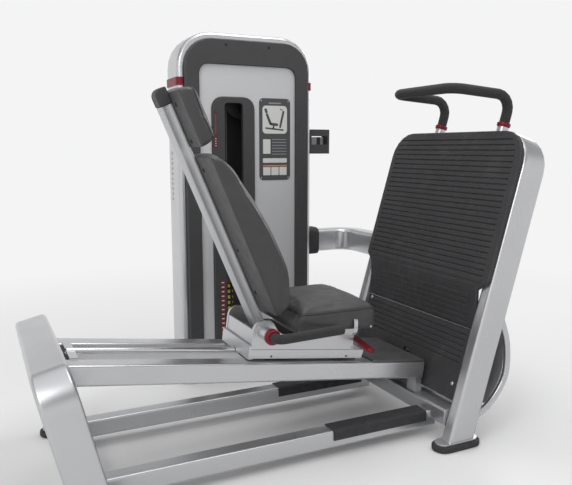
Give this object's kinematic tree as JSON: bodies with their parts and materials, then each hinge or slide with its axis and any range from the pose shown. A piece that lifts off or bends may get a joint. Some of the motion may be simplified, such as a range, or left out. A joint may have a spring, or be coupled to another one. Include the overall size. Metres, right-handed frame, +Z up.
{
  "type": "leg press machine",
  "caption": "Seated leg press: seat carriage on inclined rails, fixed ribbed foot plate in an arch, grab handle, and a weight-stack tower joined by a link tube and cable.",
  "frame": {"origin": "middle of the bounding box at floor level", "axes": "+X from the seat towards the foot plate, +Y from the seat towards the weight tower, +Z up"},
  "size_m": [1.7384, 1.201, 1.525],
  "materials": {
    "frame_silver": "satin silver powder coat",
    "dark_steel": "dark grey satin paint",
    "bright_steel": "polished hard chrome",
    "cable": "coated steel cable",
    "foot_plate": "ribbed black mat",
    "grip_foam": "soft black grip",
    "rubber": "matt black rubber",
    "black_plastic": "fine-grained dark plastic",
    "panel_grey": "light grey satin panel",
    "upholstery": "dark grey vinyl",
    "red_trim": "deep red gloss",
    "weights": "black painted plates"
  },
  "bodies": {
    "machine": {"accessory_holder": "black_plastic", "deck_plate": "dark_steel", "floor_frame": "frame_silver", "foot_arch": "frame_silver", "foot_pad_front_far": "rubber", "foot_pad_front_near": "rubber", "foot_pad_rear_far": "rubber", "foot_pad_rear_near": "rubber", "foot_plate_lower": "foot_plate", "foot_plate_upper": "foot_plate", "front_panel": "panel_grey", "front_shroud": "black_plastic", "grab_handle": "grip_foam", "guide_rod": "bright_steel", "handle_collar_far": "red_trim", "handle_collar_near": "red_trim", "link_boot": "rubber", "link_tube": "frame_silver", "main_cable": "cable", "rail_frame": "frame_silver", "rear_arch": "frame_silver", "rear_cover": "black_plastic", "rear_guard": "frame_silver", "rear_pulley_cover": "dark_steel", "slot_bezel": "black_plastic", "stack_rod_left": "bright_steel", "stack_rod_right": "bright_steel", "top_crossmember": "dark_steel", "tower_frame": "frame_silver", "tower_plinth": "rubber", "tread_pad_far": "rubber", "tread_pad_near": "rubber", "trim_ring_left": "red_trim", "trim_ring_right": "red_trim", "weight_stack": "weights"},
    "trolley": {"drive_trolley": "dark_steel", "press_cable": "cable"},
    "carriage": {"carriage_base": "frame_silver", "seat_frame": "frame_silver", "front_bush": "black_plastic", "rear_bush": "black_plastic", "back_tube": "frame_silver", "back_pad": "upholstery", "head_pad": "upholstery", "head_bracket": "black_plastic", "seat_pad": "upholstery", "handle_ring": "red_trim", "handle_grip": "grip_foam"},
    "front_rollers": {"front_rollers": "black_plastic"},
    "rear_rollers": {"rear_rollers": "black_plastic"},
    "lever": {"seat_lever": "red_trim"},
    "lift": {"head_plate": "dark_steel", "lift_cable": "cable"},
    "pin": {"selector_pin": "red_trim"},
    "rail_pulley": {"rail_pulley": "black_plastic"},
    "arch_pulley": {"arch_pulley": "black_plastic"},
    "link_pulley": {"link_pulley": "black_plastic"},
    "tower_pulley": {"tower_pulley": "black_plastic"},
    "top_pulley": {"top_pulley": "black_plastic"}
  },
  "joints": [
    {"name": "press_slide", "type": "slide", "parent": "machine", "child": "trolley", "axis": [-0.9909, 0, 0.1347], "range_m": [0, 0.36], "deforming": ["press_cable"]},
    {"name": "seat_adjust", "type": "slide", "parent": "trolley", "child": "carriage", "axis": [-0.9909, 0, 0.1347], "range_m": [0, 0.1]},
    {"name": "front_rollers_spin", "type": "hinge", "parent": "carriage", "child": "front_rollers", "pos_m": [0.19492, -0.2015, 0.30464], "axis": [0, 1, 0], "range_deg": [-1500, 0]},
    {"name": "rear_rollers_spin", "type": "hinge", "parent": "carriage", "child": "rear_rollers", "pos_m": [-0.09839, -0.2015, 0.34451], "axis": [0, 1, 0], "range_deg": [-1500, 0]},
    {"name": "seat_lever_pull", "type": "hinge", "parent": "carriage", "child": "lever", "pos_m": [0.2276, -0.2965, 0.36469], "axis": [-0.9909, 0, 0.1347], "range_deg": [0, 22], "stiffness_Nm_per_rad": 1.2},
    {"name": "weight_lift", "type": "slide", "parent": "machine", "child": "lift", "axis": [0, 0, 1], "range_m": [0, 0.36], "deforming": ["lift_cable"]},
    {"name": "pin_pull", "type": "slide", "parent": "lift", "child": "pin", "axis": [0, -1, 0], "range_m": [0, 0.06]},
    {"name": "rail_pulley_spin", "type": "hinge", "parent": "machine", "child": "rail_pulley", "pos_m": [0.55603, -0.2015, 0.19996], "axis": [0, 1, 0], "range_deg": [0, 612]},
    {"name": "arch_pulley_spin", "type": "hinge", "parent": "machine", "child": "arch_pulley", "pos_m": [0.69759, -0.1675, 0.56535], "axis": [0.9603, 0, -0.279], "range_deg": [0, 612]},
    {"name": "link_pulley_spin", "type": "hinge", "parent": "machine", "child": "link_pulley", "pos_m": [0.67907, 0.4855, 0.598], "axis": [0, 0, 1], "range_deg": [-742, 0]},
    {"name": "tower_pulley_spin", "type": "hinge", "parent": "machine", "child": "tower_pulley", "pos_m": [0.26226, 0.5135, 0.643], "axis": [0, 1, 0], "range_deg": [-464, 0]},
    {"name": "top_pulley_spin", "type": "hinge", "parent": "machine", "child": "top_pulley", "pos_m": [0.14026, 0.5135, 1.2485], "axis": [0, 1, 0], "range_deg": [0, 273]}
  ],
  "couplings": [
    {"joint": "weight_lift", "follows": "press_slide", "ratio": 1},
    {"joint": "front_rollers_spin", "follows": "press_slide", "rad_per_m": -72.464},
    {"joint": "rear_rollers_spin", "follows": "press_slide", "rad_per_m": -72.464},
    {"joint": "rail_pulley_spin", "follows": "press_slide", "rad_per_m": 29.412},
    {"joint": "arch_pulley_spin", "follows": "press_slide", "rad_per_m": 29.412},
    {"joint": "link_pulley_spin", "follows": "press_slide", "rad_per_m": -35.714},
    {"joint": "tower_pulley_spin", "follows": "press_slide", "rad_per_m": -22.222},
    {"joint": "top_pulley_spin", "follows": "press_slide", "rad_per_m": 12.987}
  ]
}
